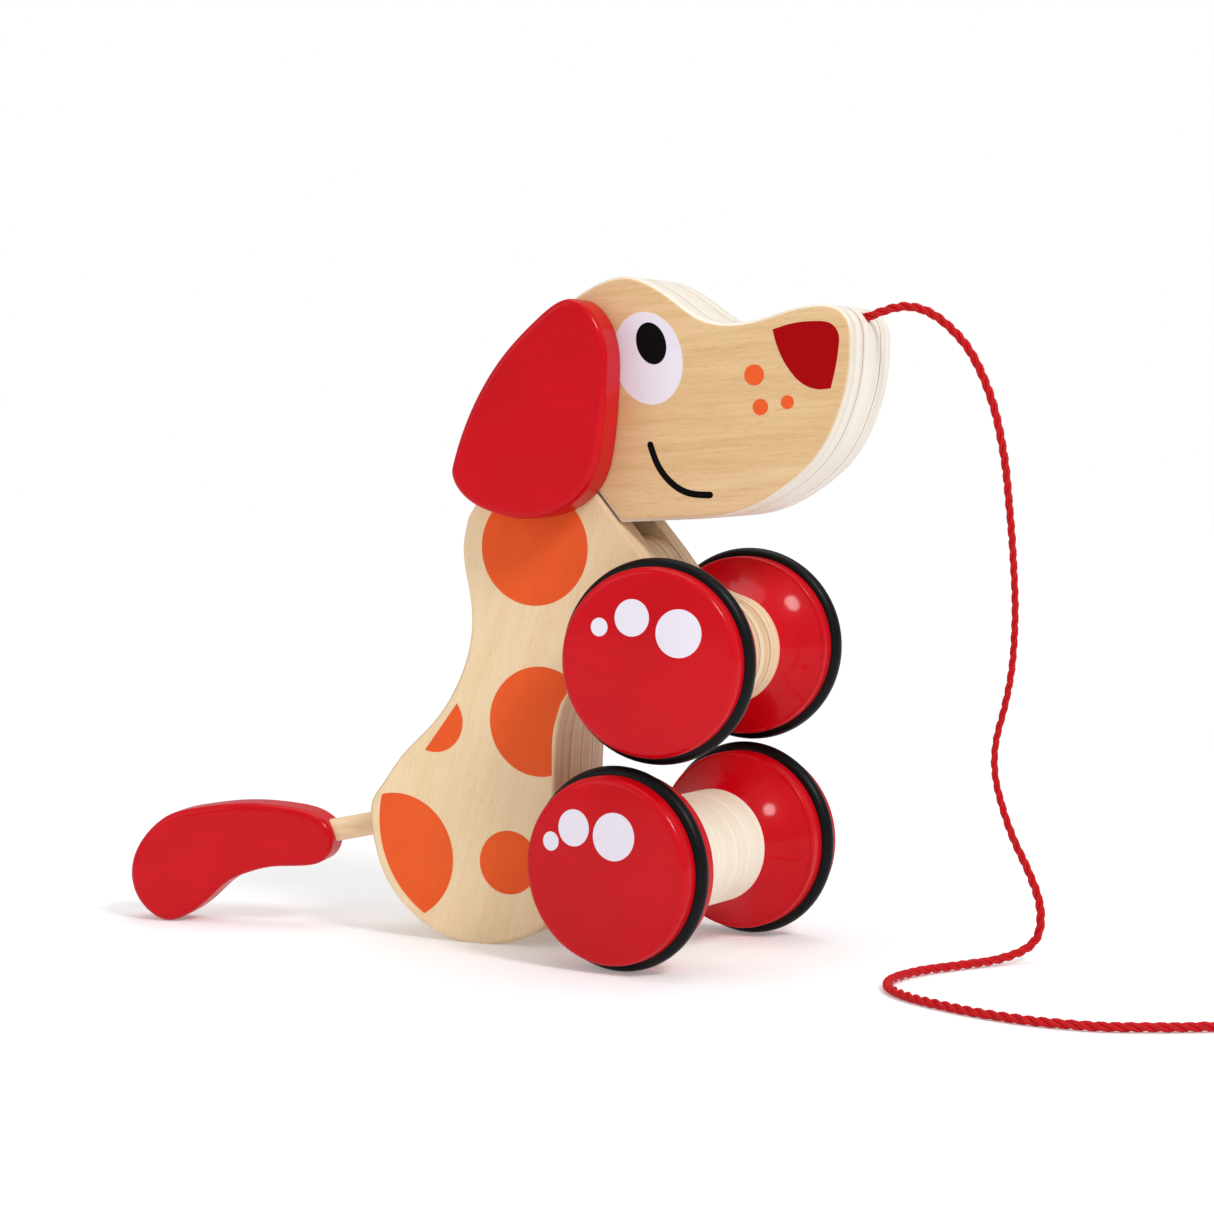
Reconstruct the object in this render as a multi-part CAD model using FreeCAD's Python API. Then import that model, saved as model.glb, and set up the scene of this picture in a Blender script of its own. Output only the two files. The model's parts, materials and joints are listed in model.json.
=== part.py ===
import FreeCAD, Part
import math
import os

os.makedirs("parts", exist_ok=True)
V = FreeCAD.Vector

# Pull-along toy dog, sitting.  Millimetres.  The dog faces +X, +Z is up, its right side is -Y.
# The origin lies on the floor, under the middle of the flat that the rump sits on.

# ---- layered slab -----------------------------------------------------------------------
SLAB = 15.0                     # half thickness of body and head
SLOT = 7.0                      # half width of the body's middle layers, and of its two slots
TONGUE = 6.7                    # half thickness of what turns in a slot
EDGE = 1.2                      # rounding of the outer edges
GAP = 0.4                       # clearance between parts that turn past each other

# ---- joints of body and head ------------------------------------------------------------
NECK = (11.7, 113.5)            # neck pin
NECK_R = 16.0                   # round top of the neck
NECK_TILT = 39.6                # direction that the neck's straight front faces, degrees
CHEST_LONG = 33.5               # length of that straight front
HIP = (8.0, 24.6)               # hip pin
HIP_SWING = 60.0                # the leg swings this far down
LEG_HALF = 7.0                  # half height of the leg
PIN_R = 3.0
PIN_HALF = 12.0                 # pins stop short of the outer faces
RUMP = (0.0, 30.0)              # middle of the round rump
RUMP_R = 30.4                   # it reaches under the floor, and is cut flat there
BELLY_X = 21.6                  # straight front of the belly

# ---- wheels -----------------------------------------------------------------------------
WHEEL_R = 24.6                  # over the rubber ring
TRACK_HALF = 31.0               # rubber ring's middle plane from the toy's middle plane
RING_R = 2.2                    # section of the rubber ring
RIM_R = 22.6
RIM_OUT = 6.6                   # the rim reaches this far outside the ring's plane
RIM_IN = 6.8                    # and this far inside it
LIP = 1.9                       # rounding of the rim's outer edge
LIP_IN = 0.9                    # and of its inner edge
DOME = 0.9                      # outer face stands this far proud of the rim
HUB_R = 13.6
AXLE_R = 3.5
RUN = 0.06                      # radial clearance of a shaft that turns in its hole
FRONT_AXLE = (55.5, 74.1)
LOBE_R = 14.2                   # round end that carries an axle

# ---- hind foot, which swivels on the leg ------------------------------------------------
SWIVEL = (31.7, 24.6)           # upright swivel pin
SWIVEL_R = 1.5                  # also the radius of the tail's pin
FOOT_REACH = 20.0               # from the swivel pin to the hind axle
FOOT_YAW = -9.1                 # how far the foot is turned in the sitting pose
SHANK = 5.0                     # half width of the neck that joins the foot's drum to the swivel
TENON = 3.7                     # half width and end radius of the leg's tenon
TENON_TALL = 4.2                # its half height
TENON_PLAY = 0.35

# ---- ears, tail -------------------------------------------------------------------------
EAR_THICK = 10.0
EAR_GAP = 0.3
EAR_PEG = (27.0, 146.0)
EAR_PEG_R = 4.0
TAIL_HALF = 5.5
TAIL_PIVOT = (-20.0, 30.2)      # upright pin that the tail wags on
TAIL_YAW = 11.0                 # how far the tail is turned in the sitting pose
TAIL_PIN_HALF = 10.0
TAIL_PLAY = 0.3                 # room above and below the dowel in its slot
TAIL_FALL = 11.4                # slope of the dowel, degrees
DOWEL_R = 3.0

# ---- cord -------------------------------------------------------------------------------
CORD_R = 1.2
CORD_HOLE = (96.6, 155.6)       # where the cord leaves the snout
CORD_RISE = 22.0                # slope of the hole, degrees
CORD_PLAY = 0.3                 # the hole is this much wider all round
HOLE_LONG = 11.0                # length of the hole, from the snout to the chamber
KNOT_R = 3.6                    # knot that holds the cord in the chamber
KNOT_PLAY = 0.4
COIL_AT = (222.0, -50.0)        # middle of the coil on the floor
COIL_R = 13.2                   # middle of its turns
COIL_BAND = 3.6                 # half width of the band of three turns
COIL_HIGH = 4.6                 # two layers
END_KNOT_R = 3.5
CORD_ROUTE = [                  # from the snout over and down to the floor, then into the coil
    (96.6, 0.0, 155.6), (102.0, 0.0, 157.8), (108.5, 0.0, 158.2), (115.5, 0.0, 154.9),
    (123.0, 0.0, 145.8), (129.0, 0.2, 128.5), (132.0, 1.0, 104.0), (133.4, 3.0, 84.0),
    (132.0, 5.5, 66.0), (129.0, 8.0, 50.0), (130.6, 11.0, 34.0), (133.6, 15.0, 21.5),
    (134.4, 16.6, 12.0), (131.6, 14.6, 4.8), (126.2, 7.6, 1.3), (120.0, -1.6, 1.2),
    (113.6, -11.2, 1.2), (109.9, -21.0, 1.2), (111.2, -30.5, 1.2), (118.0, -39.5, 1.2),
    (130.5, -48.0, 1.2), (147.5, -55.6, 1.2), (165.5, -57.5, 1.2), (180.0, -51.5, 1.2),
    (192.0, -44.4, 1.2), (203.0, -38.6, 1.2), (213.0, -35.8, 1.2),
]


def flat(p, y=0.0):
    """A point of the side view, as a 3-D point."""
    return V(p[0], y, p[1])


def polar(centre, radius, degrees):
    a = math.radians(degrees)
    return (centre[0] + radius * math.cos(a), centre[1] + radius * math.sin(a))


def line(a, b):
    return Part.LineSegment(flat(a), flat(b)).toShape()


def arc(a, b, c):
    return Part.Arc(flat(a), flat(b), flat(c)).toShape()


def curve(points):
    """A smooth curve through the points."""
    c = Part.BSplineCurve()
    c.interpolate(Points=[flat(p) for p in points])
    return c.toShape()


def polygon(points):
    """The straight edges that join the points, and back to the first."""
    return Part.Wire([line(a, b) for a, b in zip(points, points[1:] + points[:1])])


def loop(points):
    """A closed smooth outline."""
    c = Part.BSplineCurve()
    c.interpolate(Points=[flat(p) for p in points], PeriodicFlag=True)
    return Part.Wire([c.toShape()])


def slab(wire, low, high):
    """A side-view outline, as a board from y=low to y=high."""
    board = Part.Face(wire).extrude(V(0, high - low, 0))
    board.translate(V(0, low, 0))
    return board


def rod(centre, radius, low, high):
    """A round rod or hole across the toy."""
    return Part.makeCylinder(radius, high - low, flat(centre, low), V(0, 1, 0))


def round_edges(solid, y, radius):
    """Rounds the edges that lie in the plane y."""
    rim = [e for e in solid.Edges if abs(e.BoundBox.YMin - y) + abs(e.BoundBox.YMax - y) < 1e-4]
    return solid.makeFillet(radius, rim)


def mirrored(solid):
    return solid.mirror(V(0, 0, 0), V(0, 1, 0))


def save(shape, name):
    if shape.ShapeType == "Compound" and len(shape.Solids) == 1:
        shape = shape.Solids[0]
    if not shape.isValid() or not shape.Solids:
        raise RuntimeError(name + " is not a sound solid")
    shape.exportStep("parts/" + name + ".step")
    return shape


# ---- body -------------------------------------------------------------------------------
def body_outline():
    """The whole side view as one closed curve: neck, chest, front lobe, belly, rump, spine."""
    nape = [(-0.7, 111.6), (-1.4, 117.0), (0.6, 123.4)]
    neck = nape + [polar(NECK, NECK_R, a) for a in (112, 75, NECK_TILT)]
    slope = math.radians(NECK_TILT - 90)
    chest = [(neck[-1][0] + s * math.cos(slope), neck[-1][1] + s * math.sin(slope))
             for s in (0.15 * CHEST_LONG, 0.4 * CHEST_LONG, 0.7 * CHEST_LONG, CHEST_LONG)]
    throat = [(50.4, 92.0)]
    lobe = [polar(FRONT_AXLE, LOBE_R, a) for a in range(80, -145, -24)]
    belly = [(37.5, 70.0), (30.4, 68.2), (25.0, 62.6), (22.5, 55.0), (BELLY_X, 45.0), (BELLY_X, 30.0),
             (BELLY_X, 14.0)]
    rump = [polar(RUMP, RUMP_R, a) for a in range(-54, -192, -17)]
    spine = [(-27.6, 38.6), (-21.9, 46.3), (-13.4, 54.6), (-6.8, 63.6), (-3.1, 72.5), (-1.8, 82.0),
             (-3.0, 91.0), (-4.1, 99.6), (-3.4, 104.3), (-2.2, 107.8)]
    return loop(neck + chest + throat + lobe + belly + rump + spine)


def neck_slot():
    """The room between the neck's side layers that the head's tongue turns in."""
    room = rod(NECK, NECK_R + GAP, -SLAB, SLAB)
    floor = [(-9.0, 100.5), (20.0, 99.5), (36.0, 102.6)]
    lip = [floor[-1], (40.6, 101.7), (46.0, 96.6)]
    around = [lip[-1], (60.0, 110.0), (60.0, 135.0), (-9.0, 135.0)] + floor
    edges = [line(a, b) for a, b in zip(around, around[1:])] + [curve(lip)]
    return room.fuse(slab(Part.Wire(edges), -SLAB, SLAB))


def leg_slot():
    """The room that the hind leg swings down in."""
    steep = math.radians(-HIP_SWING)
    wide = LEG_HALF + 0.5
    front = HIP[0] + 52.0
    low = (HIP[0] + wide * math.sin(steep), HIP[1] - wide * math.cos(steep))
    far = (low[0] + 70 * math.cos(steep), low[1] + 70 * math.sin(steep))
    corners = [(HIP[0], HIP[1] + wide), (front, HIP[1] + wide), (front, far[1]), far, low]
    return rod(HIP, LEG_HALF + 1.5, -SLAB, SLAB).fuse(slab(polygon(corners), -SLAB, SLAB))


def tail_slot():
    """The level slot in the rump that the tail's dowel wags in."""
    a = math.radians(TAIL_FALL)
    half = DOWEL_R + TAIL_PLAY
    inner, outer = -1.6 * DOWEL_R, 10 * DOWEL_R
    corners = []
    for back, up in ((inner, half), (outer, half), (outer, -half), (inner, -half)):
        corners.append((TAIL_PIVOT[0] - back * math.cos(a) - up * math.sin(a),
                        TAIL_PIVOT[1] - back * math.sin(a) + up * math.cos(a)))
    return slab(polygon(corners), -SLAB, SLAB)


def body_parts():
    outline = body_outline()
    axle_hole = rod(FRONT_AXLE, AXLE_R + RUN, -SLAB, SLAB)
    pin_foot = flat((TAIL_PIVOT[0], TAIL_PIVOT[1] - TAIL_PIN_HALF))
    tail_pin = Part.makeCylinder(SWIVEL_R, 2 * TAIL_PIN_HALF, pin_foot)
    pins = rod(NECK, PIN_R, -PIN_HALF, PIN_HALF).fuse(rod(HIP, PIN_R, -PIN_HALF, PIN_HALF))
    below_floor = Part.makeBox(60.0, 2 * SLAB, 5.0, V(-30.0, -SLAB, -5.0))
    right = round_edges(slab(outline, -SLAB, -SLOT), -SLAB, EDGE).cut(axle_hole).cut(pins).cut(below_floor)
    save(right, "body_side_right")
    save(mirrored(right), "body_side_left")
    core = slab(outline, -SLOT, 0.0).cut(neck_slot()).cut(leg_slot()).cut(tail_slot()).cut(axle_hole)
    core = core.cut(tail_pin).cut(below_floor)
    save(core, "body_core_right")
    save(mirrored(core), "body_core_left")
    save(rod(NECK, PIN_R, -PIN_HALF, PIN_HALF), "neck_pin")
    save(rod(HIP, PIN_R, -PIN_HALF, PIN_HALF), "hip_pin")
    save(tail_pin, "tail_pin")


# ---- head -------------------------------------------------------------------------------
def head_edges(cheek_gap):
    """The head's outline from the jaw corner round the snout to the back of the neck, and the cheek."""
    tilt = math.radians(NECK_TILT)
    start = polar(NECK, NECK_R + cheek_gap, 100)
    top = polar(NECK, NECK_R + cheek_gap, NECK_TILT)
    jaw_z = 106.3
    drop = (top[1] - jaw_z) / math.cos(tilt)
    jaw = (top[0] + drop * math.sin(tilt), jaw_z)
    return [
        curve([start, (9.6, 138.0), (13.0, 147.0), (19.3, 155.2), (27.5, 161.6), (34.5, 165.0),
               (40.5, 165.9), (46.5, 164.0), (53.5, 159.6), (59.0, 155.9), (64.8, 154.3), (72.0, 154.6),
               (81.0, 156.9),
               (89.5, 158.3), (94.4, 157.4), (97.2, 154.2), (97.9, 149.0), (97.4, 141.5), (95.2, 133.0),
               (89.6, 122.3), (80.4, 114.2), (72.6, 109.9), (65.0, 107.9), (56.0, 107.2), (47.0, 106.75),
               jaw]),
        line(jaw, top),
        arc(top, polar(NECK, NECK_R + cheek_gap, 70), start),
    ]


def cord_rod(radius, start, length):
    """A rod along the cord's hole, measured back from the snout."""
    a = math.radians(CORD_RISE)
    way = V(-math.cos(a), 0, -math.sin(a))
    return Part.makeCylinder(radius, length, flat(CORD_HOLE) + way * start, way)


def head_parts():
    outline = Part.Wire(head_edges(GAP))
    peg_hole = rod(EAR_PEG, EAR_PEG_R, -SLAB, -TONGUE)
    right = round_edges(slab(outline, -SLAB, -TONGUE), -SLAB, EDGE).cut(peg_hole)
    chamber = cord_rod(KNOT_R + KNOT_PLAY, HOLE_LONG - 1.0, 2 * KNOT_R + 0.6)
    hole = cord_rod(CORD_R + CORD_PLAY, -6.0, HOLE_LONG + 6.0).fuse(chamber)
    right = right.cut(hole)
    save(right, "head_side_right")
    save(mirrored(right), "head_side_left")
    tongue = rod(NECK, NECK_R - 0.3, -TONGUE, TONGUE)
    core = slab(outline, -TONGUE, TONGUE).fuse(tongue)
    bridge = [polar(NECK, NECK_R - 0.3, NECK_TILT - 8), polar(NECK, NECK_R + 6, NECK_TILT),
              polar(NECK, NECK_R + 6, 96), polar(NECK, NECK_R - 0.3, 104), polar(NECK, 5, 70)]
    core = core.fuse(slab(polygon(bridge), -TONGUE, TONGUE))
    core = core.cut(rod(NECK, PIN_R + RUN, -SLAB, SLAB)).cut(hole).removeSplitter()
    save(core, "head_core")


def ear_parts():
    outline = loop([(-2.1, 119.7), (2.9, 133.2), (10.8, 145.7), (20.6, 155.4), (30.4, 160.2), (36.8, 154.8),
                    (39.2, 141.0), (38.0, 126.4), (34.7, 115.4), (27.3, 109.3), (17.7, 107.2), (8.0, 108.9),
                    (0.4, 113.2)])
    outer, inner = -SLAB - EAR_GAP - EAR_THICK, -SLAB - EAR_GAP
    ear = slab(outline, outer, inner)
    ear = round_edges(round_edges(ear, outer, 1.6), inner, 0.8)
    ear = ear.cut(rod(EAR_PEG, EAR_PEG_R + RUN, inner - 5.0, inner))
    peg = rod(EAR_PEG, EAR_PEG_R, inner - 4.8, -TONGUE - 0.2)
    for name, solid in (("ear", ear), ("ear_peg", peg)):
        save(solid, name + "_right")
        save(mirrored(solid), name + "_left")


# ---- wheels -----------------------------------------------------------------------------
def wheel():
    """One turned wheel on the Y axis, its rubber ring's middle plane at y=0, outer face towards -Y."""
    hub = TRACK_HALF - SLAB - GAP
    groove_half = RING_R * 0.93

    def at(outward, radius):
        return V(radius, -outward, 0)

    off, off_in = 0.29 * LIP, 0.29 * LIP_IN
    flare = Part.BSplineCurve()
    flare.interpolate(Points=[at(-hub, HUB_R), at(-hub + 3.0, HUB_R + 1.9), at(-RIM_IN, RIM_R - LIP_IN)])
    crown = at(RIM_OUT + DOME, 0)
    dome = Part.Arc(crown, at(RIM_OUT + DOME * 0.75, RIM_R / 2), at(RIM_OUT, RIM_R - LIP)).toShape()
    edges = [
        Part.LineSegment(crown, at(-hub, 0)).toShape(),
        Part.LineSegment(at(-hub, 0), at(-hub, HUB_R)).toShape(),
        flare.toShape(),
        Part.Arc(at(-RIM_IN, RIM_R - LIP_IN), at(-RIM_IN + off_in, RIM_R - off_in),
                 at(-RIM_IN + LIP_IN, RIM_R)).toShape(),
        Part.LineSegment(at(-RIM_IN + LIP_IN, RIM_R), at(-groove_half, RIM_R)).toShape(),
        Part.Arc(at(-groove_half, RIM_R), at(0, RIM_R - 1.1 * RING_R), at(groove_half, RIM_R)).toShape(),
        Part.LineSegment(at(groove_half, RIM_R), at(RIM_OUT - LIP, RIM_R)).toShape(),
        Part.Arc(at(RIM_OUT - LIP, RIM_R), at(RIM_OUT - off, RIM_R - off),
                 at(RIM_OUT, RIM_R - LIP)).toShape(),
        dome,
    ]
    turned = Part.Face(Part.Wire(Part.__sortEdges__(edges))).revolve(V(0, 0, 0), V(0, 1, 0), 360)
    bore = Part.makeCylinder(AXLE_R, hub + 2.0, V(0, -2.0, 0), V(0, 1, 0))
    ring = Part.makeTorus(WHEEL_R - RING_R, RING_R, V(0, 0, 0), V(0, 1, 0))
    return turned.cut(bore), ring


def wheel_set(prefix, place):
    """Two wheels glued on one axle, placed by a function that moves a shape."""
    turned, ring = wheel()
    for side, flip in (("right", False), ("left", True)):
        for name, solid in (("wheel", turned), ("tyre", ring)):
            one = solid.copy()
            one.translate(V(0, -TRACK_HALF, 0))
            if flip:
                one = mirrored(one)
            save(place(one), prefix + "_" + name + "_" + side)
    axle = Part.makeCylinder(AXLE_R, 2 * TRACK_HALF + 3.6, V(0, -TRACK_HALF - 1.8, 0), V(0, 1, 0))
    save(place(axle), prefix + "_axle")


def at_front(shape):
    moved = shape.copy()
    moved.translate(flat(FRONT_AXLE))
    return moved


def at_hind(shape):
    """Places a shape made round the hind axle: out from the swivel pin, then turned with the foot."""
    moved = shape.copy()
    moved.translate(V(SWIVEL[0] + FOOT_REACH, 0, SWIVEL[1]))
    moved.rotate(flat(SWIVEL), V(0, 0, 1), FOOT_YAW)
    return moved


# ---- hind leg and foot ------------------------------------------------------------------
def leg_parts():
    shoulder = SWIVEL[0] - SHANK - GAP
    low = SWIVEL[1] - TENON_TALL
    board = [(HIP[0], HIP[1] + LEG_HALF), (shoulder, HIP[1] + LEG_HALF),
             (shoulder, HIP[1] - LEG_HALF), (HIP[0], HIP[1] - LEG_HALF)]
    leg = slab(polygon(board), -TONGUE, TONGUE).fuse(rod(HIP, LEG_HALF, -TONGUE, TONGUE))
    long = SWIVEL[0] - shoulder + 1.0
    tenon = Part.makeBox(long, 2 * TENON, 2 * TENON_TALL, V(shoulder - 1.0, -TENON, low))
    tip = Part.makeCylinder(TENON, 2 * TENON_TALL, V(SWIVEL[0], 0, low))
    leg = leg.fuse(tenon).fuse(tip).removeSplitter()
    leg = leg.cut(rod(HIP, PIN_R + RUN, -SLAB, SLAB))
    leg = leg.cut(Part.makeCylinder(SWIVEL_R + RUN, 40.0, V(SWIVEL[0], 0, 5.0)))
    save(leg, "hind_leg")

    drum = rod((0, 0), LOBE_R, -SLAB, SLAB)
    drum = round_edges(round_edges(drum, -SLAB, 0.8), SLAB, 0.8)
    neck = Part.makeBox(FOOT_REACH, 2 * SHANK, 2 * LEG_HALF, V(-FOOT_REACH, -SHANK, -LEG_HALF))
    neck = neck.fuse(Part.makeCylinder(SHANK, 2 * LEG_HALF, V(-FOOT_REACH, 0, -LEG_HALF)))
    foot = drum.fuse(neck).removeSplitter()
    mouth = TENON_TALL + TENON_PLAY
    front = -FOOT_REACH + TENON + TENON_PLAY
    deep = front + FOOT_REACH + SHANK + 1.0
    foot = foot.cut(Part.makeBox(deep, 2 * SLAB, 2 * mouth, V(front - deep, -SLAB, -mouth)))
    foot = foot.cut(rod((0, 0), AXLE_R + RUN, -SLAB, SLAB))
    pin_half = LEG_HALF - 0.5
    pin = Part.makeCylinder(SWIVEL_R, 2 * pin_half, V(-FOOT_REACH, 0, -pin_half))
    foot = foot.cut(pin)
    save(at_hind(foot), "hind_foot")
    save(at_hind(pin), "swivel_pin")


# ---- tail -------------------------------------------------------------------------------
def tail_rod(radius, start, end):
    """A rod along the tail's dowel, in the middle plane.  Distances are measured back from the pin."""
    a = math.radians(TAIL_FALL)
    way = V(-math.cos(a), 0, -math.sin(a))
    return Part.makeCylinder(radius, end - start, flat(TAIL_PIVOT) + way * start, way)


def at_tail(shape):
    """Turns a shape made in the middle plane about the tail's pin, to where the tail is at rest."""
    moved = shape.copy()
    moved.rotate(flat(TAIL_PIVOT), V(0, 0, 1), TAIL_YAW)
    return moved


def tail_parts():
    outline = loop([(-46.0, 21.5), (-46.9, 26.4), (-51.5, 29.7), (-57.9, 31.1), (-70.4, 31.7), (-83.1, 30.2),
                    (-90.6, 28.2), (-97.0, 23.2), (-100.2, 18.4), (-101.6, 12.9), (-100.7, 7.6), (-97.0, 2.5),
                    (-91.7, 0.1), (-86.0, 1.9), (-80.4, 6.0), (-74.7, 11.0), (-69.2, 13.5), (-63.7, 15.0),
                    (-54.4, 15.7), (-49.3, 16.9)])
    paddle = slab(outline, -TAIL_HALF, TAIL_HALF)
    paddle = round_edges(round_edges(paddle, -TAIL_HALF, 1.8), TAIL_HALF, 1.8)
    paddle = paddle.cut(tail_rod(DOWEL_R, 20.0, 37.2))
    hole_half = DOWEL_R + 2.0
    hole_foot = flat((TAIL_PIVOT[0], TAIL_PIVOT[1] - hole_half))
    pin_hole = Part.makeCylinder(SWIVEL_R + RUN, 2 * hole_half, hole_foot)
    dowel = tail_rod(DOWEL_R, -DOWEL_R, 37.0).cut(pin_hole)
    save(at_tail(paddle), "tail_paddle")
    save(at_tail(dowel), "tail_dowel")


# ---- cord -------------------------------------------------------------------------------
def cord_wire(points):
    """Straight runs joined by tangent arcs, each as large as its two runs allow."""
    points = [V(*p) for p in points]
    edges, here = [], points[0]
    for before, corner, after in zip(points, points[1:], points[2:]):
        back, on = (before - corner), (after - corner)
        turn = math.pi - back.getAngle(on)
        reach = 0.45 * min(back.Length, on.Length)
        back.normalize()
        on.normalize()
        first, last = corner + back * reach, corner + on * reach
        radius = reach / math.tan(turn / 2)
        print("cord turn %.0f deg, radius %.1f mm" % (math.degrees(turn), radius))
        middle = (back + on).normalize()
        mid = corner + middle * (radius / math.cos(turn / 2) - radius)
        edges.append(Part.LineSegment(here, first).toShape())
        edges.append(Part.Arc(first, mid, last).toShape())
        here = last
    edges.append(Part.LineSegment(here, points[-1]).toShape())
    return Part.Wire(edges)


def cord_parts():
    a = math.radians(CORD_RISE)
    way = V(math.cos(a), 0, math.sin(a))
    path = cord_wire(CORD_ROUTE)
    section = Part.Wire([Part.makeCircle(CORD_R, V(*CORD_ROUTE[0]), way)])
    tube = path.makePipeShell([section], True, True)
    filled = tube.Volume / (path.Length * math.pi * CORD_R ** 2)
    print("cord length %.1f mm, volume ratio %.4f" % (path.Length, filled))
    save(tube, "pull_cord")
    inside = cord_rod(CORD_R, 0.0, HOLE_LONG)
    knot = Part.makeSphere(KNOT_R, flat(CORD_HOLE) - way * (HOLE_LONG - 0.6 + KNOT_R))
    save(inside.fuse(knot), "cord_knot")
    outer = Part.makeCylinder(COIL_R + COIL_BAND, COIL_HIGH, V(COIL_AT[0], COIL_AT[1], 0))
    inner = Part.makeCylinder(COIL_R - COIL_BAND, COIL_HIGH, V(COIL_AT[0], COIL_AT[1], 0))
    save(outer.cut(inner), "cord_coil")
    save(Part.makeSphere(END_KNOT_R, V(COIL_AT[0], COIL_AT[1], END_KNOT_R)), "cord_end")


body_parts()
head_parts()
ear_parts()
wheel_set("front", at_front)
wheel_set("hind", at_hind)
leg_parts()
tail_parts()
cord_parts()
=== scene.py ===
import json
import math
import bmesh
import bpy
import numpy as np
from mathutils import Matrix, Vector
from mathutils.bvhtree import BVHTree


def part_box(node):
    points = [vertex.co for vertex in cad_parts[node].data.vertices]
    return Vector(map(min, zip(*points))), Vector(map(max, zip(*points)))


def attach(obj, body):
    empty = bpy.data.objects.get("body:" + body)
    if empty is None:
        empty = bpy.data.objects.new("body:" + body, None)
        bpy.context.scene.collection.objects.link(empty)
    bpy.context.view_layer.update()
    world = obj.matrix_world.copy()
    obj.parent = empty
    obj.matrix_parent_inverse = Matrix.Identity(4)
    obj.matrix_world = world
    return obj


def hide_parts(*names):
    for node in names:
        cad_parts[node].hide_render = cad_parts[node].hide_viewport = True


# Pull-along toy dog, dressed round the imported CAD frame.  Metres, the same frame as the CAD:
# the dog faces +X, +Z is up, and its right side, -Y, is the side that the camera sees.

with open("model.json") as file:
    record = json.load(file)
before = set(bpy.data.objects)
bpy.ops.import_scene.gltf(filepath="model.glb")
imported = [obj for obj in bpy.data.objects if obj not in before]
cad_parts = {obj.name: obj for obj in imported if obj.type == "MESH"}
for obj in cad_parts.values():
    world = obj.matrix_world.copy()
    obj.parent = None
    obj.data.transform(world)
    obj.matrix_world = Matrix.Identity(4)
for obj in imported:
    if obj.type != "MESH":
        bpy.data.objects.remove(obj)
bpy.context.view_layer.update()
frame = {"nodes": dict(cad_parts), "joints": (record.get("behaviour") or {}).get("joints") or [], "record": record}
MM = 0.001
scene = bpy.context.scene


# ---- camera -----------------------------------------------------------------------------
CAMERA_PLACE = (0.30675, -0.63831, 0.12819)
CAMERA_DOWN = 3.585             # degrees below level
CAMERA_ROUND = 23.528           # degrees round from square on to the dog's side
LENS, SENSOR = 82.68, 36.0
NEAR_CLIP, FAR_CLIP = 0.01, 20.0


def make_camera():
    data = bpy.data.cameras.new("camera")
    data.sensor_width = SENSOR
    data.lens = LENS
    data.clip_start, data.clip_end = NEAR_CLIP, FAR_CLIP
    camera = bpy.data.objects.new("camera", data)
    camera.location = CAMERA_PLACE
    camera.rotation_euler = (math.radians(90 - CAMERA_DOWN), 0, math.radians(CAMERA_ROUND))
    scene.collection.objects.link(camera)
    scene.camera = camera


make_camera()

# ---- cord -------------------------------------------------------------------------------
LAY = 9.5 * MM                  # one turn of the three strands
STRAND_R = 0.56 * MM
STRAND_OUT = 0.56 * MM          # from the cord's line to a strand's line
STEP = 0.28 * MM                # distance between the rope's rings of vertices
AROUND = 12                     # vertices round one strand
PLIES = 4                       # fine plies round one strand
PLY_TURN = 2.6 * MM             # one turn of the fine plies inside a strand
PLY_BULGE = 0.07                # how far a ply stands out, as a share of the strand's radius
UNEVEN = ((0.04, 3.7 * MM, 2.1), (0.03, 1.3 * MM, 1.0))  # share, length, shift from strand to strand
THINNING = 0.22                 # share of the thickness lost where the cord hangs free
THIN_BELOW, THIN_FADE = 150, 60     # height in millimetres, and the height that it comes in over
THIN_ABOVE, THIN_RISE = 12, 35      # the same at the floor
KNOT_SIZE, KNOT_TALL = 0.76 * MM, 1.15 * MM
COIL_AT = (222.0, -50.0)
COIL_POINTS = 16                # points a turn
COIL_PLAN = [                   # turns made so far, radius, height; millimetres
    (0.0, 15.6, 1.2), (1.0, 13.2, 1.2), (2.0, 10.8, 1.3), (2.4, 11.8, 3.2), (3.0, 12.8, 3.4),
    (4.0, 14.2, 3.4), (4.6, 12.6, 3.4), (4.9, 9.6, 3.4), (5.2, 6.0, 3.0), (5.4, 4.0, 3.2),
]
CORD_ROUTE = [                  # millimetres: the CAD's route with some points moved a little
    (96.6, 0.0, 155.6), (102.0, 0.0, 157.8), (108.5, 0.0, 158.2), (115.5, 0.0, 154.9),
    (123.8, 0.0, 145.8), (130.0, 0.2, 128.5), (132.4, 1.0, 104.0), (133.0, 3.0, 84.0),
    (131.0, 5.5, 67.0), (125.4, 8.0, 50.0), (129.2, 11.0, 33.0), (134.2, 15.6, 20.5),
    (136.0, 18.4, 12.0), (135.0, 17.6, 4.0), (128.0, 9.2, 1.2), (120.0, -1.6, 1.2),
    (113.8, -11.2, 1.2), (110.9, -21.0, 1.2), (111.8, -30.5, 1.2), (118.0, -39.5, 1.2),
    (130.5, -47.6, 1.2), (147.5, -54.6, 1.2), (165.5, -56.3, 1.2), (180.0, -50.9, 1.2),
    (192.0, -44.4, 1.2), (203.0, -38.6, 1.2), (213.0, -35.8, 1.2),
]


def coil_points():
    """The turns of the coil, clockwise from its far side."""
    turns, radii, heights = (np.array(c) for c in zip(*COIL_PLAN))
    points = []
    for i in range(int(turns[-1] * COIL_POINTS) + 1):
        t = i / COIL_POINTS
        r, z = np.interp(t, turns, radii), np.interp(t, turns, heights)
        a = math.radians(90) - 2 * math.pi * t
        points.append((COIL_AT[0] + r * math.cos(a), COIL_AT[1] + r * math.sin(a), z))
    return points


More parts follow.
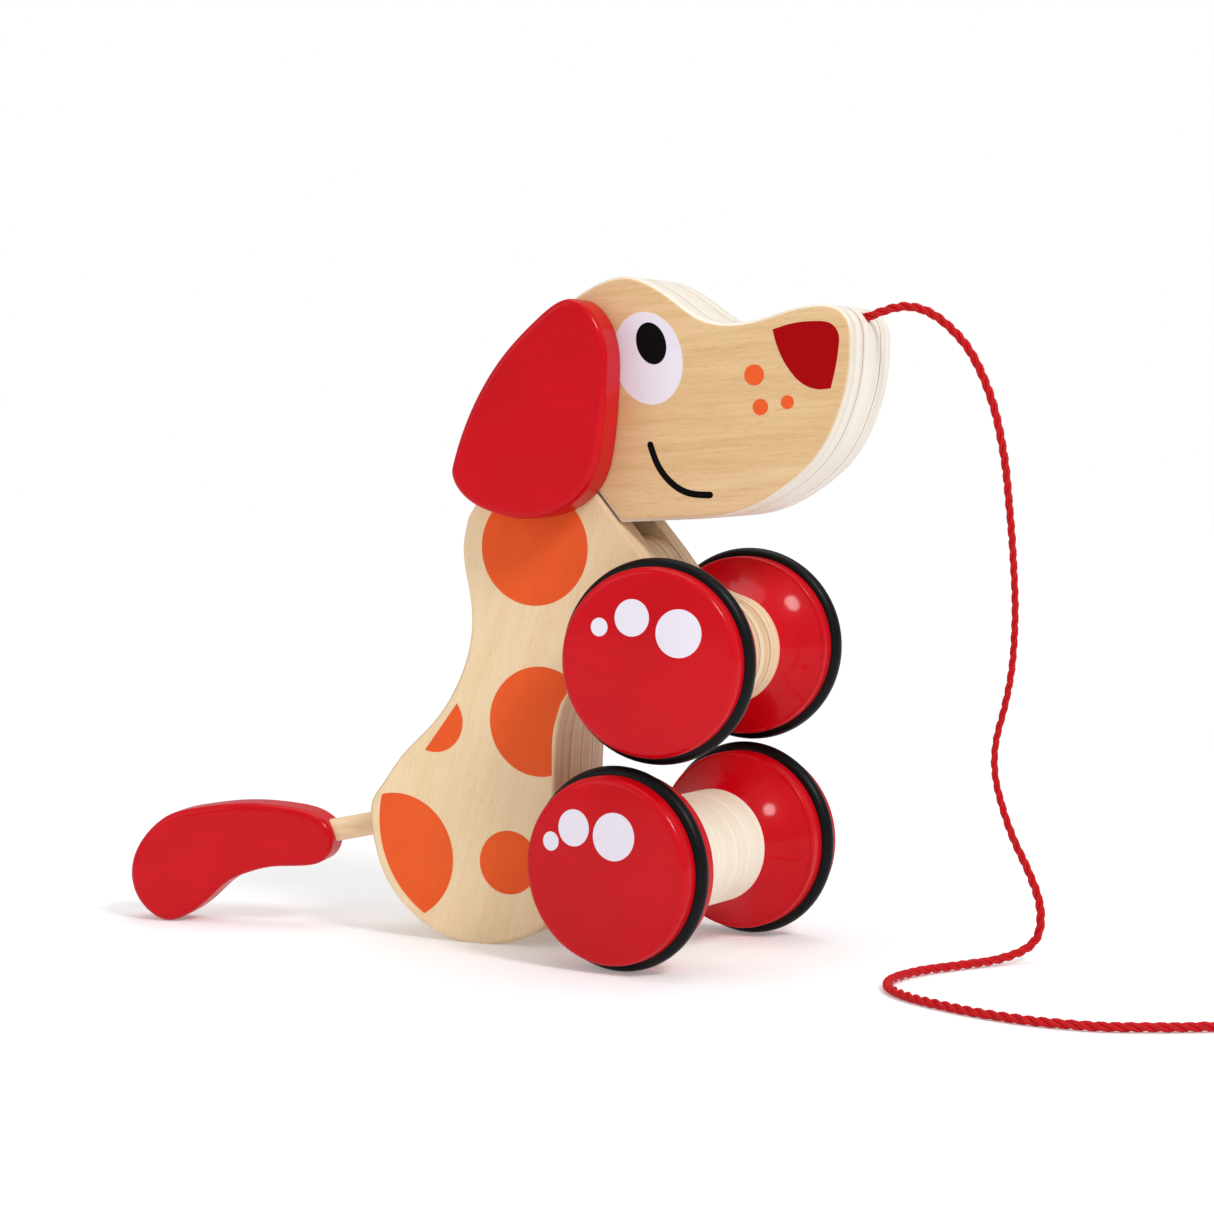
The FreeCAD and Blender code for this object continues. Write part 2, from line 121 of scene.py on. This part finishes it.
def spline_points(points, closed=False):
    """Points in metres along the smooth spline that has these control points, in millimetres."""
    curve = bpy.data.curves.new("route", "CURVE")
    curve.dimensions = "3D"
    curve.resolution_u = 8
    spline = curve.splines.new("NURBS")
    spline.points.add(len(points) - 1)
    for p, xyz in zip(spline.points, points):
        p.co = (xyz[0] * MM, xyz[1] * MM, xyz[2] * MM, 1.0)
    spline.order_u = 3
    spline.use_endpoint_u = not closed
    spline.use_cyclic_u = closed
    route = bpy.data.objects.new("route", curve)
    mesh = bpy.data.meshes.new_from_object(route)
    line = np.array([v.co for v in mesh.vertices])
    bpy.data.objects.remove(route)
    return np.vstack([line, line[:1]]) if closed else line


def evenly(line, step):
    """The same line with its points a step apart, and each point's distance along it."""
    along = np.concatenate([[0], np.cumsum(np.linalg.norm(np.diff(line, axis=0), axis=1))])
    count = int(along[-1] / step)
    at = np.linspace(0, along[-1], count + 1)
    return np.column_stack([np.interp(at, along, line[:, k]) for k in range(3)]), at


def side_frames(line):
    """Two directions across the line at each point, carried along it without twist."""
    ways = np.gradient(line, axis=0)
    ways /= np.linalg.norm(ways, axis=1)[:, None]
    side = np.cross(ways[0], (0.0, 1.0, 0.1))
    sides = []
    for way in ways:
        side = side - way * (side @ way)
        side = side / np.linalg.norm(side)
        sides.append(side)
    sides = np.array(sides)
    return sides, np.cross(ways, sides)


def rope(name, line, thinner=None):
    """Three strands twisted round the line, each with its own fine plies, as one mesh."""
    line, at = evenly(line, STEP)
    sides, ups = side_frames(line)
    scale = np.ones(len(at)) if thinner is None else thinner(line)
    vertices, faces, fibre, run = [], [], [], []
    turn = np.arange(AROUND) * 2 * math.pi / AROUND
    for k in range(3):
        a = 2 * math.pi * (at / LAY + k / 3)
        wobble = 1
        for share, length, shift in UNEVEN:
            wobble = wobble + share * np.sin(at / length + shift * k)
        out = (STRAND_OUT * scale)[:, None]
        middle = line + out * (np.cos(a)[:, None] * sides + np.sin(a)[:, None] * ups)
        base = len(vertices)
        for i, centre in enumerate(middle):
            ply = turn * PLIES - 2 * math.pi * at[i] / PLY_TURN
            r = STRAND_R * scale[i] * wobble[i] * (1 + PLY_BULGE * np.cos(ply))
            ring = centre + (r * np.cos(turn + a[i]))[:, None] * sides[i]
            ring = ring + (r * np.sin(turn + a[i]))[:, None] * ups[i]
            vertices.extend(ring.tolist())
            fibre.extend(ply.tolist())
            run.extend([at[i]] * AROUND)
        for i in range(len(middle) - 1):
            for j in range(AROUND):
                a0, b0 = base + i * AROUND + j, base + i * AROUND + (j + 1) % AROUND
                faces.append((a0, b0, b0 + AROUND, a0 + AROUND))
        last = base + (len(middle) - 1) * AROUND
        faces.append(tuple(range(base + AROUND - 1, base - 1, -1)))
        faces.append(tuple(range(last, last + AROUND)))
    mesh = bpy.data.meshes.new(name)
    mesh.from_pydata(vertices, [], faces)
    for label, values in (("fibre", fibre), ("run", run)):
        mesh.attributes.new(label, "FLOAT", "POINT").data.foreach_set("value", values)
    mesh.shade_smooth()
    obj = bpy.data.objects.new(name, mesh)
    scene.collection.objects.link(obj)
    return obj


def hanging_thin(line):
    """The cord is pulled thinner where it hangs free."""
    z = line[:, 2] / MM
    below = np.clip((THIN_BELOW - z) / THIN_FADE, 0, 1)
    return 1 - THINNING * (below * np.clip((z - THIN_ABOVE) / THIN_RISE, 0, 1))


def knot_line(centre, size, tall):
    """A closed overhand knot."""
    t = np.linspace(0, 2 * math.pi, 200)
    x, y = np.sin(t) + 2 * np.sin(2 * t), np.cos(t) - 2 * np.cos(2 * t)
    return np.array(centre) + np.column_stack([x * size, y * size, -np.sin(3 * t) * tall])


route = spline_points(CORD_ROUTE + coil_points())
pull_rope = rope("cord_rope", route, hanging_thin)
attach(pull_rope, "head")
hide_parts("pull_cord", "cord_coil")


def middle_of(node):
    low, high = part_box(node)
    return (low + high) / 2


end_knot = rope("cord_end_knot", knot_line(middle_of("cord_end"), KNOT_SIZE, KNOT_TALL))
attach(end_knot, "head")
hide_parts("cord_end")


# ---- materials --------------------------------------------------------------------------
class Finish:
    """One procedural material, built by short calls.  Each call gives the new node's output."""

    def __init__(self, name, roughness=0.5, **fixed):
        self.material = bpy.data.materials.new(name)
        self.material.use_nodes = True
        self.tree = self.material.node_tree
        self.tree.nodes.clear()
        self.shader = self.tree.nodes.new("ShaderNodeBsdfPrincipled")
        out = self.tree.nodes.new("ShaderNodeOutputMaterial")
        self.tree.links.new(self.shader.outputs[0], out.inputs["Surface"])
        self.shader.inputs["Roughness"].default_value = roughness
        for socket, value in fixed.items():
            self.shader.inputs[socket.replace("_", " ")].default_value = value
        self.where = self.tree.nodes.new("ShaderNodeTexCoord")

    def put(self, socket, value):
        """Link a node's output to the socket, or set a plain value on it."""
        if isinstance(value, bpy.types.NodeSocket):
            self.tree.links.new(value, socket)
        elif value is not None:
            socket.default_value = value

    def node(self, kind, inputs, output=0, **settings):
        made = self.tree.nodes.new("ShaderNode" + kind)
        for key, value in settings.items():
            setattr(made, key, value)
        for key, value in inputs.items():
            self.put(made.inputs[key], value)
        return made.outputs[output]

    def set(self, socket, value):
        self.put(self.shader.inputs[socket], value)

    def math(self, operation, a, b=None):
        return self.node("Math", {0: a, 1: b}, operation=operation)

    def mix(self, share, a, b, how="MIX"):
        return self.node("Mix", {0: share, 6: colour(a), 7: colour(b)}, 2,
                         data_type="RGBA", blend_type=how)

    def step(self, value, low, high, to_low=0.0, to_high=1.0):
        """A smooth change from to_low to to_high as the value goes from low to high."""
        return self.node("MapRange", {0: value, 1: low, 2: high, 3: to_low, 4: to_high},
                         interpolation_type="SMOOTHSTEP")

    def noise(self, scale, detail=2.0, rough=0.5, warp=0.0, turn=0.0):
        """Noise in the piece's own coordinates, with its own scale along each axis."""
        spin = (0, math.radians(turn), 0)
        vector = self.node("Mapping", {0: self.where.outputs["Object"], 2: spin})
        vector = self.node("VectorMath", {0: vector, 1: scale}, operation="MULTIPLY")
        return self.node("TexNoise", {"Vector": vector, "Scale": 1.0, "Detail": detail,
                                      "Roughness": rough, "Distortion": warp})

    def axis(self, name, which="Object"):
        return self.node("SeparateXYZ", {0: self.where.outputs[which]}, "XYZ".index(name))

    def bump(self, height, distance, strength=1.0):
        settings = {"Height": height, "Distance": distance, "Strength": strength}
        self.set("Normal", self.node("Bump", settings))


def colour(value):
    """An (r, g, b) of 0 to 255 as a linear colour.  Anything else is left alone."""
    if not isinstance(value, tuple) or len(value) != 3:
        return value
    part = [v / 255 for v in value]
    return tuple(v / 12.92 if v <= 0.04045 else ((v + 0.055) / 1.055) ** 2.4 for v in part) + (1.0,)


GLUE_COLOUR = (150, 104, 74)
GLUE_CORE, GLUE_EDGE = 0.10 * MM, 0.34 * MM     # half widths of the line's dark core and of all of it
GRAIN_DEPTH = 0.03 * MM


def wood(name, light, dark, edge_light, edge_dark, grain=0.0, glue=()):
    """Lacquered board: long soft figure and short flecks on the faces, fine lines on the edges."""
    s = Finish(name, 0.5, Coat_Weight=0.12, Coat_Roughness=0.35, Specular_IOR_Level=0.4)
    figure = s.noise((14, 40, 130), 3.0, 0.55, 0.8, grain)
    streaks = s.noise((70, 90, 1300), 3.0, 0.6, 0.2, grain)
    flecks = s.step(s.noise((420, 500, 4200), 1.0, 0.5, 0.0, grain), 0.60, 0.74)
    tone = s.math("ADD", s.step(figure, 0.3, 0.72, 0.0, 0.62),
                  s.step(streaks, 0.3, 0.75, 0.0, 0.42))
    face = s.mix(tone, light, dark)
    face = s.mix(s.math("MULTIPLY", flecks, 0.30), face, dark, "MULTIPLY")
    lines = s.noise((28, 1500, 28), 3.0, 0.6)
    bands = s.noise((12, 330, 12), 2.0, 0.5)
    layers = s.math("ADD", s.step(lines, 0.35, 0.7, 0.0, 0.6),
                    s.step(bands, 0.35, 0.65, 0.0, 0.45))
    edge = s.mix(layers, edge_light, edge_dark)
    across = s.axis("Y")
    for y in glue:
        off = s.math("ABSOLUTE", s.math("SUBTRACT", across, y * MM))
        share = s.step(off, GLUE_CORE, GLUE_EDGE, 0.85, 0.0)
        edge = s.mix(share, edge, GLUE_COLOUR, "MULTIPLY")
    on_face = s.step(s.math("ABSOLUTE", s.axis("Y", "Normal")), 0.75, 0.97)
    s.set("Base Color", s.mix(on_face, edge, face))
    s.set("Roughness", s.step(streaks, 0.3, 0.8, 0.45, 0.6))
    s.bump(s.math("ADD", streaks, s.math("MULTIPLY", flecks, -0.5)), GRAIN_DEPTH, 0.5)
    return s.material


def paint(name, main, deep, rough, grain=0.0, coat=0.0, strength=0.2):
    """Semi-gloss paint with the wood's grain just showing through."""
    s = Finish(name, rough, Coat_Weight=coat, Coat_Roughness=0.11, Specular_IOR_Level=0.06)
    cloud = s.noise((35, 35, 35), 3.0)
    streaks = s.noise((70, 90, 1500), 3.0, 0.6, 0.2, grain)
    tone = s.math("ADD", s.step(cloud, 0.3, 0.7, 0.0, 0.55),
                  s.step(streaks, 0.35, 0.75, 0.0, 0.2))
    s.set("Base Color", s.mix(tone, main, deep))
    s.set("Roughness", s.step(cloud, 0.3, 0.7, rough - 0.04, rough + 0.06))
    peel = s.noise((900, 900, 900), 1.0)
    s.bump(s.math("ADD", streaks, s.math("MULTIPLY", peel, 0.35)), GRAIN_DEPTH, strength)
    return s.material


def rubber(name):
    """Black rubber ring, matt, with fine specks of dust."""
    s = Finish(name, 0.42, Specular_IOR_Level=0.16)
    fine = s.noise((2500, 2500, 2500), 2.0)
    dust = s.step(s.noise((500, 500, 500), 3.0), 0.62, 0.78)
    s.set("Base Color", s.mix(s.math("MULTIPLY", dust, 0.35), (5, 4, 6), (20, 18, 21)))
    s.set("Roughness", s.step(fine, 0.3, 0.7, 0.34, 0.48))
    s.bump(fine, 0.02 * MM, 0.5)
    return s.material


def yarn(name):
    """Twisted polyester yarn: light and dark fibres that run with the plies, and painted shade that darkens the
    grooves between the plies.
    """
    s = Finish(name, 0.6, Specular_IOR_Level=0.25)
    fibre = s.node("Attribute", {}, "Fac", attribute_name="fibre")
    run = s.node("Attribute", {}, "Fac", attribute_name="run")
    lay = s.node("CombineXYZ", {0: s.math("MULTIPLY", s.math("SINE", fibre), 1.2),
                                1: s.math("MULTIPLY", s.math("COSINE", fibre), 1.2),
                                2: s.math("MULTIPLY", run, 160.0)})
    hairs = s.node("TexNoise", {"Vector": lay, "Scale": 3.5, "Detail": 4.0, "Roughness": 0.65})
    groove = s.step(s.math("COSINE", fibre), -1.0, 0.2)
    tone = s.mix(s.step(hairs, 0.3, 0.7), (176, 0, 8), (226, 8, 18))
    # painted shade: the base colour darkens towards (140, 0, 6) in the grooves between the plies
    dark = s.math("MULTIPLY", s.math("SUBTRACT", 1.0, groove), 0.5)
    s.set("Base Color", s.mix(dark, tone, (140, 0, 6)))
    s.bump(s.math("ADD", hairs, groove), 0.05 * MM, 0.6)
    return s.material


BODY_GLUE = (-7.0, 0.0, 7.0)    # glue lines across the body's edge, millimetres
HEAD_GLUE = (-6.7, 6.7)
BODY_GRAIN, HEAD_GRAIN = 74.0, 3.0      # degrees that the grain is turned by on the faces
body_wood = wood("body_wood", (240, 216, 176), (232, 203, 158),
                 (242, 222, 188), (206, 168, 124), BODY_GRAIN, BODY_GLUE)
head_wood = wood("head_wood", (232, 198, 150), (214, 174, 122),
                 (242, 236, 224), (220, 208, 190), HEAD_GRAIN, HEAD_GLUE)
leg_wood = wood("leg_wood", (244, 236, 218), (232, 214, 188), (244, 238, 222), (233, 220, 196))
dowel_wood = wood("dowel_wood", (236, 208, 170), (222, 186, 142), (236, 208, 170), (220, 186, 144))
red_paint = paint("red_paint", (204, 2, 22), (184, 0, 10), 0.42, 0.0, 0.26)
rubber_black = rubber("black_rubber")
red_yarn = yarn("red_yarn")
white_print = paint("white_print", (233, 228, 238), (226, 220, 232), 0.45)
black_print = paint("black_print", (9, 6, 8), (4, 3, 4), 0.5)
nose_print = paint("nose_print", (166, 0, 8), (152, 0, 5), 0.5)
orange_print = paint("orange_print", (236, 98, 46), (226, 84, 38), 0.45, BODY_GRAIN, 0.0, 0.5)

FINISH_OF_SLOT = {
    "body_wood": body_wood, "head_wood": head_wood, "leg_wood": leg_wood, "dowel_wood": dowel_wood,
    "red_paint": red_paint, "black_rubber": rubber_black, "red_yarn": red_yarn,
}
for part in frame["record"]["subparts"]:
    materials = frame["nodes"][part["node"]].data.materials
    materials.clear()
    materials.append(FINISH_OF_SLOT[part["material_slot"]])
for piece in (pull_rope, end_knot):
    piece.data.materials.append(red_yarn)


# ---- printed marks ----------------------------------------------------------------------
FILM = 0.04 * MM                # a mark stands this far off the wood, and goes as far into it
CLEAR = 0.1                     # metres out from a face, past everything


class Face:
    """A flat or domed face for printed marks, with its own across, up and outward directions."""

    def __init__(self, node, body, origin, across, outward):
        mesh = frame["nodes"][node].data
        points = [v.co for v in mesh.vertices]
        self.tree = BVHTree.FromPolygons(points, [p.vertices for p in mesh.polygons])
        self.body = body
        self.origin, self.across, self.outward = Vector(origin), Vector(across), Vector(outward)
        self.up = Vector((0, 0, 1))

    def lay(self, name, rings, finish):
        """A thin film on the face.  Each ring is a list of (across, up), the outermost first."""
        top = [[self.touch(p) for p in ring] for ring in rings]
        bm = bmesh.new()
        upper = [[bm.verts.new(p + self.outward * FILM) for p in ring] for ring in top]
        lower = [bm.verts.new(p - self.outward * FILM) for p in top[0]]
        count = len(lower)
        for outer, inner in zip(upper, upper[1:]):
            for i in range(count):
                j = (i + 1) % count
                bm.faces.new((outer[i], outer[j], inner[j], inner[i]))
        bm.faces.new(upper[-1])
        bm.faces.new(list(reversed(lower)))
        for i in range(count):
            j = (i + 1) % count
            bm.faces.new((lower[i], lower[j], upper[0][j], upper[0][i]))
        bm.normal_update()
        bmesh.ops.triangulate(bm, faces=[f for f in bm.faces if len(f.verts) > 4])
        bmesh.ops.recalc_face_normals(bm, faces=bm.faces)
        mesh = bpy.data.meshes.new(name)
        bm.to_mesh(mesh)
        bm.free()
        obj = bpy.data.objects.new(name, mesh)
        scene.collection.objects.link(obj)
        mesh.materials.append(finish)
        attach(obj, self.body)
        return obj

    def touch(self, p):
        """Where the face is, looked at straight from outside."""
        start = self.origin + self.across * (p[0] * MM) + self.up * (p[1] * MM)
        start = start + self.outward * CLEAR
        hit = self.tree.ray_cast(start, -self.outward)[0]
        if hit is None:
            raise RuntimeError("a printed mark lies off its face")
        return hit


def oval(centre, wide, tall, turn=0.0, count=72):
    """An oval of half width wide and half height tall, turned about its centre."""
    c, s = math.cos(math.radians(turn)), math.sin(math.radians(turn))
    points = []
    for i in range(count):
        t = 2 * math.pi * i / count
        x, z = wide * math.cos(t), tall * math.sin(t)
        points.append((centre[0] + x * c - z * s, centre[1] + x * s + z * c))
    return points


def smooth(points, closed=True, step=0.35):
    """A smooth line near the points of a flat outline."""
    line = spline_points([(x, 0.0, z) for x, z in points], closed)
    line, _ = evenly(line, step * MM)
    line = line[:-1] if closed else line
    return [(x / MM, z / MM) for x, _, z in line.tolist()]


def shrunk(outline, centre, shares=(1.0, 0.75, 0.5, 0.25)):
    """Rings inside an outline, towards its middle."""
    return [[(centre[0] + s * (x - centre[0]), centre[1] + s * (z - centre[1])) for x, z in outline]
            for s in shares]


def stroke(points, half):
    """The outline of a line drawn with a round brush."""
    line = np.array(smooth(points, False))
    ways = np.gradient(line, axis=0)
    ways /= np.linalg.norm(ways, axis=1)[:, None]
    normals = np.column_stack([-ways[:, 1], ways[:, 0]])
    left, right = line + half * normals, (line - half * normals)[::-1]
    caps = []
    for middle, way in ((line[-1], ways[-1]), (line[0], -ways[0])):
        start = math.atan2(way[1], way[0]) + math.pi / 2
        angles = [start - math.pi * k / 9 for k in range(1, 9)]
        caps.append([middle + half * np.array((math.cos(a), math.sin(a))) for a in angles])
    return [tuple(p) for p in [*left, *caps[0], *right, *caps[1]]]


# The marks on the head and body are in millimetres from the frame's origin, forward and up.
# The wheels' dots are in millimetres from the wheel's middle.
EYE = ((46.1, 146.05), 8.93, 11.36, 15.8)       # middle, half width, half height, turn
PUPIL = ((47.0, 149.6), 3.76, 5.2, 20.0)
NOSE = [
    (78.1, 152.5), (78.1, 152.5), (82.6, 153.9), (87.5, 154.4), (92.6, 154.2), (94.8, 151.4),
    (94.6, 148.0), (93.9, 143.4), (92.7, 138.5), (92.7, 138.5), (89.2, 138.1), (85.0, 139.7),
    (81.2, 144.2), (79.0, 149.0),
]
NOSE_MIDDLE = (87.5, 148.0)
SMILE_HALF = 0.8                # half the width of the smile's line
SMILE = [(46.8, 125.2), (47.9, 121.6), (50.6, 117.4), (54.6, 114.2), (58.8, 113.1), (62.3, 113.2)]
FRECKLES = (((73.5, 141.8), 2.5), ((75.1, 134.2), 1.95), ((81.9, 135.3), 1.65))
WHEEL_DOTS = (((8.1, 7.3), 5.7), ((-3.7, 10.7), 4.4), ((-12.1, 8.3), 2.2))
HIND_DOTS = (((3.2, 8.7), 5.7), ((-8.1, 10.0), 4.4), ((-14.7, 6.3), 2.3))
DOT_RINGS = (1.0, 0.84, 0.68, 0.52, 0.36, 0.2)
RUMP_MIDDLE, RUMP_KEEP = (0.0, 30.0), 27.8      # a circle a little inside the rump's edge
BELLY_HEIGHTS = [40, 51.5, 55.6, 61.5, 64.0, 70.0]
BELLY_EDGE = [20.4, 20.5, 21.0, 22.9, 24.6, 30.6]
BACK_CUT = (-14.9, 48.0, -5.6, 60.5)
SPOTS = (                       # name, middle, radius
    ("neck", (15.8, 99.8), 14.4), ("belly", (17.2, 56.65), 13.7), ("back", (-11.9, 55.6), 7.8),
    ("rump", (-23.1, 20.7), 16.2), ("hip", (8.6, 21.0), 8.0),
)


def keep_belly(x, z):
    """Left of the belly's edge, which turns forward above."""
    return (min(x, np.interp(z, BELLY_HEIGHTS, BELLY_EDGE)), z)


def keep_back(x, z):
    """Right of a straight cut along the back's slope."""
    ax, az, bx, bz = BACK_CUT
    nx, nz = bz - az, -(bx - ax)
    length = math.hypot(nx, nz)
    off = ((x - ax) * nx + (z - az) * nz) / length
    return (x, z) if off > 0 else (x - off * nx / length, z - off * nz / length)


def keep_rump(x, z):
    """Inside a circle a little smaller than the round rump."""
    dx, dz = x - RUMP_MIDDLE[0], z - RUMP_MIDDLE[1]
    r = math.hypot(dx, dz)
    if r < RUMP_KEEP:
        return (x, z)
    return (dx * RUMP_KEEP / r + RUMP_MIDDLE[0], dz * RUMP_KEEP / r + RUMP_MIDDLE[1])


# A point past a border moves to it, and the cut spots' rings close in on a point of their own.
KEEP = {"belly": keep_belly, "back": keep_back, "rump": keep_rump}
INNER = {"back": (-8.5, 53.5), "rump": (-19.0, 21.5), "belly": (13.0, 56.65)}


def print_side(side, outward):
    """The face, the freckles and the spots on one side of the dog."""
    head = Face("head_side_" + side, "head", (0, 0, 0), (1, 0, 0), outward)
    head.lay("eye_white_" + side, shrunk(oval(*EYE), EYE[0]), white_print)
    pupil = head.lay("pupil_" + side, shrunk(oval(*PUPIL), PUPIL[0]), black_print)
    for v in pupil.data.vertices:
        v.co += Vector(outward) * FILM
    head.lay("nose_" + side, shrunk(smooth(NOSE), NOSE_MIDDLE), nose_print)
    head.lay("smile_" + side, [stroke(SMILE, SMILE_HALF)], black_print)
    for i, (middle, radius) in enumerate(FRECKLES):
        rings = shrunk(oval(middle, radius, radius, 0, 40), middle)
        head.lay("freckle_%d_%s" % (i + 1, side), rings, orange_print)
    body = Face("body_side_" + side, "body", (0, 0, 0), (1, 0, 0), outward)
    for name, middle, radius in SPOTS:
        outline = oval(middle, radius, radius, 0, 120)
        if name in KEEP:
            outline = [KEEP[name](x, z) for x, z in outline]
        rings = shrunk(outline, INNER.get(name, middle))
        body.lay("spot_%s_%s" % (name, side), rings, orange_print)


def print_dots(pair, side, sign, dots):
    """White highlights on a wheel's outer face."""
    joint = next(j for j in frame["joints"] if j["name"] == pair + "_wheels_roll")
    axle = Vector(joint["axis"]) * sign
    across = Vector((0, 0, 1)).cross(axle) * -sign
    wheel = pair + "_wheel_" + side
    face = Face(wheel, pair + "_wheels", middle_of(pair + "_tyre_" + side), across, axle)
    for i, (middle, radius) in enumerate(dots):
        rings = shrunk(oval(middle, radius, radius, 0, 56), middle, DOT_RINGS)
        face.lay("dot_%d_%s" % (i + 1, wheel), rings, white_print)


for side, sign in (("right", -1), ("left", 1)):
    print_side(side, (0, sign, 0))
    print_dots("front", side, sign, WHEEL_DOTS)
    print_dots("hind", side, sign, HIND_DOTS)


# ---- floor, light -----------------------------------------------------------------------
SKY_LIGHT = 0.52
FLOOR_SIZE, FLOOR_DROP = 6.0, 0.02 * MM
FLOOR_FADE = (0.22, 0.75)       # metres from the origin: the floor turns to plain white in between
GLOW_NEAR, GLOW_MORE = 0.20, 0.80
LAMPS = (                       # name, place, target, size, watts
    ("key", (1.1, -0.6, 1.2), (0.03, 0, 0.07), 0.45, 13),
    ("fill", (-0.9, -1.1, 0.7), (0.03, 0, 0.07), 1.0, 3),
    ("top", (0.0, 0.3, 1.5), (0.03, 0, 0.05), 1.2, 7),
)


def make_floor():
    """White floor that takes soft shadows near the toy and glows plain white further out."""
    bpy.ops.mesh.primitive_plane_add(size=FLOOR_SIZE, location=(0, 0, -FLOOR_DROP))
    floor = bpy.context.object
    floor.name = "floor"
    s = Finish("floor", 0.7, Specular_IOR_Level=0.1, Emission_Color=(1.0, 1.0, 1.0, 1.0))
    away = s.node("VectorMath", {0: s.where.outputs["Object"]}, 1, operation="LENGTH")
    far = s.step(away, *FLOOR_FADE)
    near = s.mix(s.noise((4, 4, 4), 2.0), (238, 239, 240), (234, 235, 237))
    s.set("Base Color", s.mix(far, near, (0, 0, 0)))
    s.set("Emission Strength", s.math("ADD", s.math("MULTIPLY", far, GLOW_MORE), GLOW_NEAR))
    floor.data.materials.append(s.material)


def area_light(name, place, target, size, watts):
    data = bpy.data.lights.new(name, "AREA")
    data.shape = "DISK"
    data.size = size
    data.energy = watts
    lamp = bpy.data.objects.new(name, data)
    lamp.location = place
    lamp.rotation_euler = (Vector(target) - Vector(place)).to_track_quat("-Z", "Y").to_euler()
    scene.collection.objects.link(lamp)


def make_light():
    """A sky that looks white and lights more softly than that, with three lamps."""
    world = bpy.data.worlds.new("world")
    scene.world = world
    world.use_nodes = True
    tree = world.node_tree
    sky = tree.nodes["Background"]
    sky.inputs[0].default_value = (1.0, 1.0, 1.0, 1.0)
    seen = tree.nodes.new("ShaderNodeLightPath").outputs["Is Camera Ray"]
    strength = tree.nodes.new("ShaderNodeMapRange")
    tree.links.new(seen, strength.inputs[0])
    strength.inputs[3].default_value = SKY_LIGHT
    strength.inputs[4].default_value = 1.0
    tree.links.new(strength.outputs[0], sky.inputs[1])
    for lamp in LAMPS:
        area_light(*lamp)


make_floor()
make_light()
scene.view_settings.view_transform = "Standard"
